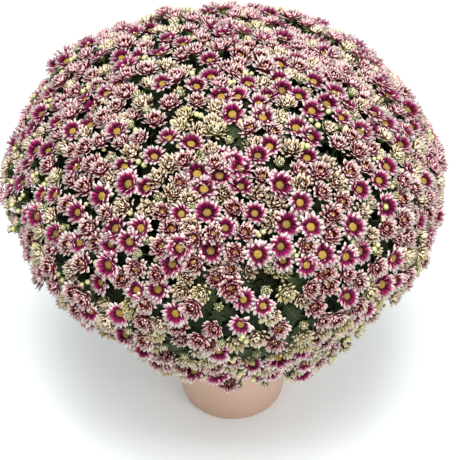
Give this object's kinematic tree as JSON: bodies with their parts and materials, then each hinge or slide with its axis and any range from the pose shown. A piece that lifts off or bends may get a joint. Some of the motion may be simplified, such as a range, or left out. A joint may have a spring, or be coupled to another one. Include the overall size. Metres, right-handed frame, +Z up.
{
  "type": "pot chrysanthemum",
  "caption": "Ball-shaped chrysanthemum plant in full bloom on leafy stems, standing in a plain tapered pot of soil.",
  "frame": {"origin": "middle of the pot's flat underside, on the surface it stands on", "axes": "+Z up along the pot's axis; -Y is the side the picture shows"},
  "size_m": [0.5855, 0.5854, 0.5985],
  "materials": {
    "pot": "satin terracotta-coloured plastic",
    "soil": "rough dark potting soil",
    "green": "matte green stems and leaves",
    "petals": "soft matte petals"
  },
  "bodies": {
    "root": {"pot": "pot", "soil": "soil", "leafy_stem_01": "green", "leafy_stem_02": "green", "leafy_stem_03": "green", "leafy_stem_04": "green", "leafy_stem_05": "green", "leafy_stem_06": "green", "leafy_stem_07": "green", "leafy_stem_08": "green", "leafy_stem_09": "green", "leafy_stem_10": "green", "leafy_stem_11": "green", "leafy_stem_12": "green", "leafy_stem_13": "green", "leafy_stem_14": "green", "leafy_stem_15": "green", "leafy_stem_16": "green", "leafy_stem_17": "green", "leafy_stem_18": "green", "blooms_01": "petals", "blooms_02": "petals", "blooms_03": "petals", "blooms_04": "petals", "blooms_05": "petals", "blooms_06": "petals", "blooms_07": "petals", "blooms_08": "petals", "blooms_09": "petals", "blooms_10": "petals", "blooms_11": "petals", "blooms_12": "petals", "blooms_13": "petals", "blooms_14": "petals", "blooms_15": "petals", "blooms_16": "petals", "blooms_17": "petals", "blooms_18": "petals"}
  },
  "joints": []
}
